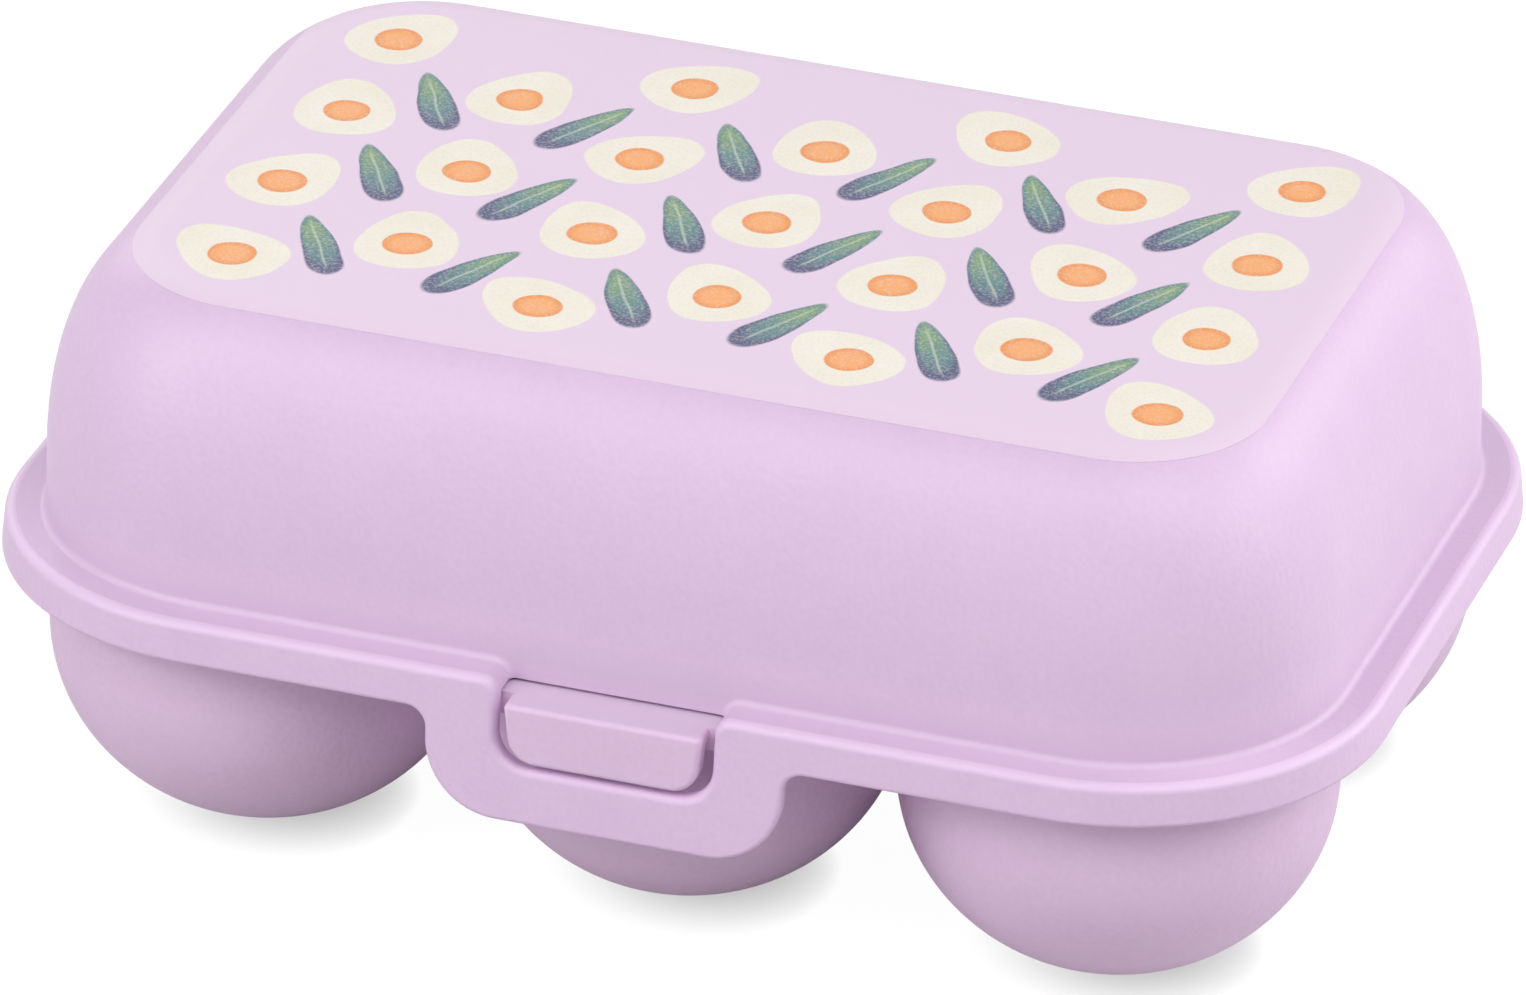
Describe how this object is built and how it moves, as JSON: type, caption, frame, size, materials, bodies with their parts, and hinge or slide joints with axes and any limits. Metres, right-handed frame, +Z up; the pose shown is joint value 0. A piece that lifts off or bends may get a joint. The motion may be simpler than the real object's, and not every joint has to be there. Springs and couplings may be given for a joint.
{
  "type": "egg keeper with flip lid",
  "caption": "Egg keeper with round egg cups under a domed flip lid, a springy clasp loop that drops over a catch at the front, and pin hinges at the back.",
  "frame": {"origin": "centre of the footprint, hinges and clasp included, on the surface the egg cups stand on", "axes": "+X along the long side, -Y towards the clasp, +Z up"},
  "size_m": [0.17, 0.1224, 0.073],
  "materials": {
    "tray_plastic": "lilac moulded plastic, fine matt grain",
    "lid_plastic": "lilac moulded plastic, fine matt grain",
    "printed_film": null
  },
  "bodies": {
    "tray": {"tray_deck": "tray_plastic", "egg_cup_front_left": "tray_plastic", "egg_cup_front_middle": "tray_plastic", "egg_cup_front_right": "tray_plastic", "egg_cup_rear_left": "tray_plastic", "egg_cup_rear_middle": "tray_plastic", "egg_cup_rear_right": "tray_plastic", "catch_tab": "tray_plastic", "hinge_pin_left": "tray_plastic", "hinge_pin_right": "tray_plastic"},
    "lid": {"lid_shell": "lid_plastic", "lid_film": "printed_film", "lid_knuckle_left": "lid_plastic", "lid_knuckle_right": "lid_plastic"},
    "clasp": {"clasp_loop": "lid_plastic"}
  },
  "joints": [
    {"name": "lid_flip", "type": "hinge", "parent": "tray", "child": "lid", "pos_m": [0, 0.058, 0.0344], "axis": [-1, 0, 0], "range_deg": [0, 168]},
    {"name": "clasp_flex", "type": "hinge", "parent": "lid", "child": "clasp", "pos_m": [0, -0.06, 0.0328], "axis": [-1, 0, 0], "range_deg": [0, 22], "stiffness_Nm_per_rad": 0.1}
  ]
}
